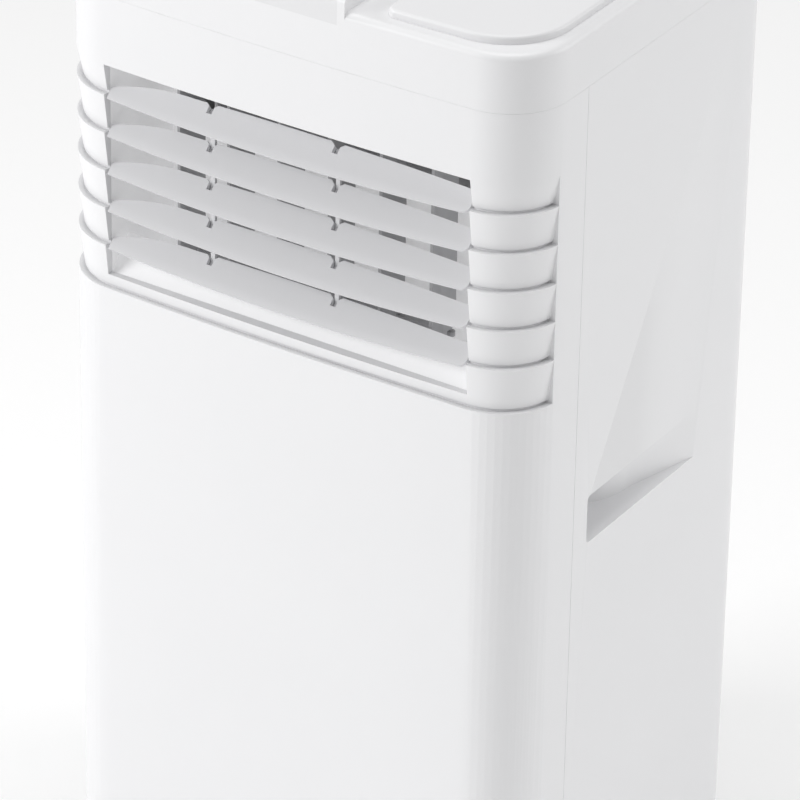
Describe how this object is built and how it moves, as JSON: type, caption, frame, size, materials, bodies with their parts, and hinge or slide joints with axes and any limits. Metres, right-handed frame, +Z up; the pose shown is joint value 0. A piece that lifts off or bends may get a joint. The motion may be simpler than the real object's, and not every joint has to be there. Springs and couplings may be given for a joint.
{
  "type": "portable air conditioner",
  "caption": "Free-standing portable air conditioner on swivel casters, with a stepped louvre outlet at the front, side handle scoops and a raised top deck with a console.",
  "frame": {"origin": "on the floor under the middle of the cabinet", "axes": "+Z up, -Y to the front where the louvres are, +X to the right of someone looking at the front"},
  "size_m": [0.33, 0.28, 0.6948],
  "materials": {
    "shell": "satin white moulding",
    "deck": "satin white moulding",
    "louvre": "satin white moulding",
    "grille": "satin white moulding",
    "base": "moulded, light grey",
    "caster": "moulded nylon, dark grey",
    "tread": "matte",
    "button": "fine texture",
    "window": "smoked",
    "filter": "woven nylon mesh",
    "rubber": "matte",
    "wheel": "moulded",
    "board": "solder mask",
    "motor": "plated",
    "coil": "bare fins",
    "copper": "drawn copper tube",
    "compressor": "black enamel",
    "steel": "zinc plated"
  },
  "bodies": {
    "cabinet": {"accumulator": "compressor", "back_screws": "steel", "base_pan": "base", "compressor": "compressor", "compressor_grommets": "rubber", "condenser_coil": "coil", "condenser_motor": "motor", "condenser_scroll": "base", "control_board": "board", "control_overlay": "button", "cord_gland": "rubber", "deck_panel": "deck", "display_window": "window", "drain_spout": "grille", "drip_tray": "base", "electric_box": "steel", "evaporator_coil": "coil", "evaporator_motor": "motor", "evaporator_scroll": "base", "exhaust_collar": "grille", "exhaust_guard": "grille", "front_panel": "shell", "louvre_motor": "motor", "outlet_frame": "louvre", "partition": "base", "rear_housing": "shell", "refrigerant_pipes": "copper", "run_capacitor": "motor", "top_cover": "shell"},
    "blade_1": {"louvre_blade_1": "louvre"},
    "blade_2": {"louvre_blade_2": "louvre"},
    "blade_3": {"louvre_blade_3": "louvre"},
    "blade_4": {"louvre_blade_4": "louvre"},
    "blade_5": {"louvre_blade_5": "louvre"},
    "link_left": {"louvre_link_left": "louvre"},
    "link_right": {"louvre_link_right": "louvre"},
    "vane_1": {"vane_1": "louvre"},
    "vane_2": {"vane_2": "louvre"},
    "vane_3": {"vane_3": "louvre"},
    "vane_4": {"vane_4": "louvre"},
    "vane_5": {"vane_5": "louvre"},
    "vane_6": {"vane_6": "louvre"},
    "vane_bar": {"vane_link": "louvre"},
    "cold_wheel": {"evaporator_wheel": "wheel"},
    "hot_wheel": {"condenser_wheel": "wheel"},
    "fork_front_left": {"caster_fork_front_left": "caster"},
    "wheel_front_left": {"caster_wheel_front_left": "tread"},
    "fork_front_right": {"caster_fork_front_right": "caster"},
    "wheel_front_right": {"caster_wheel_front_right": "tread"},
    "fork_rear_left": {"caster_fork_rear_left": "caster"},
    "wheel_rear_left": {"caster_wheel_rear_left": "tread"},
    "fork_rear_right": {"caster_fork_rear_right": "caster"},
    "wheel_rear_right": {"caster_wheel_rear_right": "tread"},
    "rear_grille": {"intake_grille": "grille", "air_filter": "filter"},
    "drain_stopper": {"drain_plug": "rubber"},
    "button_1": {"console_button_1": "button"},
    "button_2": {"console_button_2": "button"},
    "button_3": {"console_button_3": "button"},
    "button_4": {"console_button_4": "button"}
  },
  "joints": [
    {"name": "louvre_1", "type": "hinge", "parent": "cabinet", "child": "blade_1", "pos_m": [0, -0.12815, 0.58334], "axis": [1, 0, 0], "range_deg": [-50, 42]},
    {"name": "louvre_2", "type": "hinge", "parent": "cabinet", "child": "blade_2", "pos_m": [0, -0.12815, 0.55849], "axis": [1, 0, 0], "range_deg": [-50, 42]},
    {"name": "louvre_3", "type": "hinge", "parent": "cabinet", "child": "blade_3", "pos_m": [0, -0.12815, 0.53364], "axis": [1, 0, 0], "range_deg": [-50, 42]},
    {"name": "louvre_4", "type": "hinge", "parent": "cabinet", "child": "blade_4", "pos_m": [0, -0.12815, 0.50879], "axis": [1, 0, 0], "range_deg": [-50, 42]},
    {"name": "louvre_5", "type": "hinge", "parent": "cabinet", "child": "blade_5", "pos_m": [0, -0.12815, 0.48394], "axis": [1, 0, 0], "range_deg": [-50, 42]},
    {"name": "louvre_link_left_eye", "type": "hinge", "parent": "blade_1", "child": "link_left", "pos_m": [-0.057, -0.12483, 0.58723], "axis": [1, 0, 0], "range_deg": [-42, 50]},
    {"name": "louvre_link_right_eye", "type": "hinge", "parent": "blade_1", "child": "link_right", "pos_m": [0.03, -0.12483, 0.58723], "axis": [1, 0, 0], "range_deg": [-42, 50]},
    {"name": "vane_swing_1", "type": "hinge", "parent": "cabinet", "child": "vane_1", "pos_m": [-0.09225, -0.097, 0.5355], "axis": [0, 0, 1], "range_deg": [-35, 35]},
    {"name": "vane_swing_2", "type": "hinge", "parent": "cabinet", "child": "vane_2", "pos_m": [-0.05695, -0.097, 0.5355], "axis": [0, 0, 1], "range_deg": [-35, 35]},
    {"name": "vane_swing_3", "type": "hinge", "parent": "cabinet", "child": "vane_3", "pos_m": [-0.02165, -0.097, 0.5355], "axis": [0, 0, 1], "range_deg": [-35, 35]},
    {"name": "vane_swing_4", "type": "hinge", "parent": "cabinet", "child": "vane_4", "pos_m": [0.01365, -0.097, 0.5355], "axis": [0, 0, 1], "range_deg": [-35, 35]},
    {"name": "vane_swing_5", "type": "hinge", "parent": "cabinet", "child": "vane_5", "pos_m": [0.04895, -0.097, 0.5355], "axis": [0, 0, 1], "range_deg": [-35, 35]},
    {"name": "vane_swing_6", "type": "hinge", "parent": "cabinet", "child": "vane_6", "pos_m": [0.08425, -0.097, 0.5355], "axis": [0, 0, 1], "range_deg": [-35, 35]},
    {"name": "vane_bar_eye", "type": "hinge", "parent": "vane_1", "child": "vane_bar", "pos_m": [-0.09225, -0.088, 0.4705], "axis": [0, 0, 1], "range_deg": [-35, 35]},
    {"name": "cold_fan_spin", "type": "hinge", "parent": "cabinet", "child": "cold_wheel", "pos_m": [0, 0.01, 0.44], "axis": [0, 1, 0], "continuous": true},
    {"name": "hot_fan_spin", "type": "hinge", "parent": "cabinet", "child": "hot_wheel", "pos_m": [0.07, 0.04, 0.138], "axis": [0, 1, 0], "continuous": true},
    {"name": "swivel_front_left", "type": "hinge", "parent": "cabinet", "child": "fork_front_left", "pos_m": [-0.122, -0.094, 0.04], "axis": [0, 0, 1], "continuous": true},
    {"name": "roll_front_left", "type": "hinge", "parent": "fork_front_left", "child": "wheel_front_left", "pos_m": [-0.122, -0.084, 0.017], "axis": [1, 0, 0], "continuous": true},
    {"name": "swivel_front_right", "type": "hinge", "parent": "cabinet", "child": "fork_front_right", "pos_m": [0.122, -0.094, 0.04], "axis": [0, 0, 1], "continuous": true},
    {"name": "roll_front_right", "type": "hinge", "parent": "fork_front_right", "child": "wheel_front_right", "pos_m": [0.122, -0.084, 0.017], "axis": [1, 0, 0], "continuous": true},
    {"name": "swivel_rear_left", "type": "hinge", "parent": "cabinet", "child": "fork_rear_left", "pos_m": [-0.122, 0.096, 0.04], "axis": [0, 0, 1], "continuous": true},
    {"name": "roll_rear_left", "type": "hinge", "parent": "fork_rear_left", "child": "wheel_rear_left", "pos_m": [-0.122, 0.106, 0.017], "axis": [1, 0, 0], "continuous": true},
    {"name": "swivel_rear_right", "type": "hinge", "parent": "cabinet", "child": "fork_rear_right", "pos_m": [0.122, 0.096, 0.04], "axis": [0, 0, 1], "continuous": true},
    {"name": "roll_rear_right", "type": "hinge", "parent": "fork_rear_right", "child": "wheel_rear_right", "pos_m": [0.122, 0.106, 0.017], "axis": [1, 0, 0], "continuous": true},
    {"name": "rear_grille_hinge", "type": "hinge", "parent": "cabinet", "child": "rear_grille", "pos_m": [0, 0.1376, 0.348], "axis": [-1, 0, 0], "range_deg": [0, 60]},
    {"name": "drain_plug_pull", "type": "slide", "parent": "cabinet", "child": "drain_stopper", "axis": [0, 1, 0], "range_m": [0, 0.02]},
    {"name": "press_1", "type": "slide", "parent": "cabinet", "child": "button_1", "axis": [0, 0, -1], "range_m": [0, 0.0006], "stiffness_N_per_m": 800},
    {"name": "press_2", "type": "slide", "parent": "cabinet", "child": "button_2", "axis": [0, 0, -1], "range_m": [0, 0.0006], "stiffness_N_per_m": 800},
    {"name": "press_3", "type": "slide", "parent": "cabinet", "child": "button_3", "axis": [0, 0, -1], "range_m": [0, 0.0006], "stiffness_N_per_m": 800},
    {"name": "press_4", "type": "slide", "parent": "cabinet", "child": "button_4", "axis": [0, 0, -1], "range_m": [0, 0.0006], "stiffness_N_per_m": 800}
  ],
  "couplings": [
    {"joint": "louvre_2", "follows": "louvre_1", "ratio": 1},
    {"joint": "louvre_3", "follows": "louvre_1", "ratio": 1},
    {"joint": "louvre_4", "follows": "louvre_1", "ratio": 1},
    {"joint": "louvre_5", "follows": "louvre_1", "ratio": 1},
    {"joint": "louvre_link_left_eye", "follows": "louvre_1", "ratio": -1},
    {"joint": "louvre_link_right_eye", "follows": "louvre_1", "ratio": -1},
    {"joint": "vane_swing_2", "follows": "vane_swing_1", "ratio": 1},
    {"joint": "vane_swing_3", "follows": "vane_swing_1", "ratio": 1},
    {"joint": "vane_swing_4", "follows": "vane_swing_1", "ratio": 1},
    {"joint": "vane_swing_5", "follows": "vane_swing_1", "ratio": 1},
    {"joint": "vane_swing_6", "follows": "vane_swing_1", "ratio": 1},
    {"joint": "vane_bar_eye", "follows": "vane_swing_1", "ratio": -1}
  ]
}
